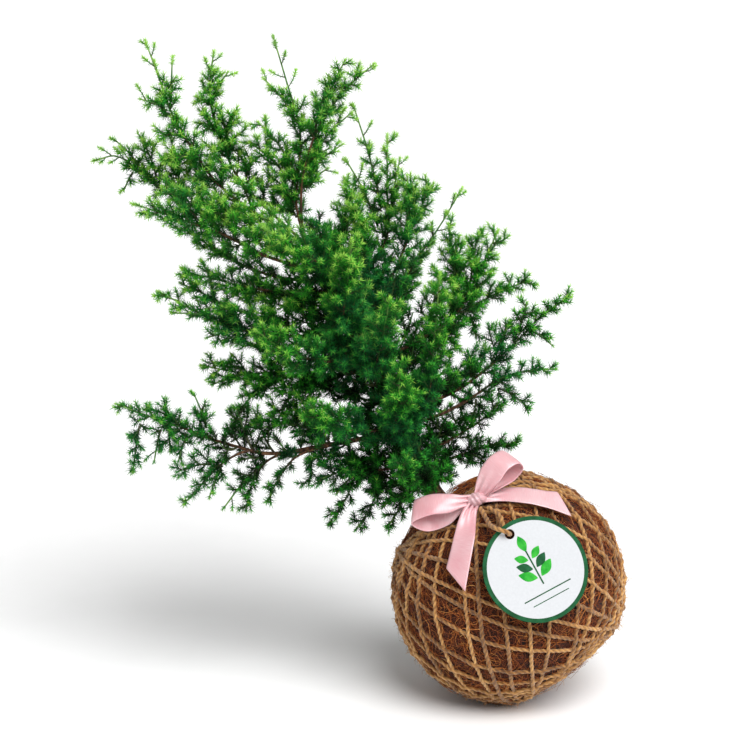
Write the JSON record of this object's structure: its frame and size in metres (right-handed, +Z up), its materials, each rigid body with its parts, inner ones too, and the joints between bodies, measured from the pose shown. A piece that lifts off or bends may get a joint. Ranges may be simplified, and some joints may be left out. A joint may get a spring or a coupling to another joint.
{
  "type": "kokedama plant",
  "caption": "Small needle-leaved cypress growing from a coir-wrapped root ball netted with jute twine, with a satin bow and a round card tag on a twine loop.",
  "frame": {"origin": "middle of the small flat foot on which the ball rests", "axes": "+Z up, +X to the right of the front view, -Y toward the viewer, bow and tag on the -Y side"},
  "size_m": [0.2678, 0.1504, 0.3326],
  "materials": {
    "soil": "matte",
    "coir": "matte",
    "jute": "matte",
    "bark": "matte",
    "needles": "satin",
    "satin": "satin",
    "card": "satin"
  },
  "bodies": {
    "root": {"soil_ball": "soil", "coir_wrap": "coir", "jute_twine": "jute", "woody_stems": "bark", "satin_bow": "satin", "tag_twine": "jute", "swing_tag": "card", "spray_crest_centre": "needles", "spray_crest_right": "needles", "spray_crest_mid_left": "needles", "spray_crest_left": "needles", "spray_crest_back": "needles", "spray_far_left_high": "needles", "spray_far_left_low": "needles", "spray_left_back": "needles", "spray_left_upper": "needles", "spray_left_middle": "needles", "spray_left_lower": "needles", "spray_low_left_a": "needles", "spray_low_left_b": "needles", "spray_low_left_c": "needles", "spray_right_crest_left": "needles", "spray_right_crest": "needles", "spray_right_high": "needles", "spray_right_upper": "needles", "spray_right_shoulder": "needles", "spray_right_far": "needles", "spray_right_middle": "needles", "spray_right_lower": "needles", "spray_right_foot": "needles", "spray_front_high": "needles", "spray_front_crown": "needles", "spray_front_left": "needles", "spray_front_middle": "needles", "spray_front_right": "needles", "spray_front_low": "needles", "spray_front_centre": "needles", "spray_front_foot": "needles", "spray_back_high": "needles", "spray_back_middle": "needles", "spray_back_right": "needles", "spray_back_left": "needles", "spray_low_branch_tip": "needles", "spray_low_branch_a": "needles", "spray_low_branch_b": "needles", "spray_low_branch_c": "needles"}
  },
  "joints": []
}
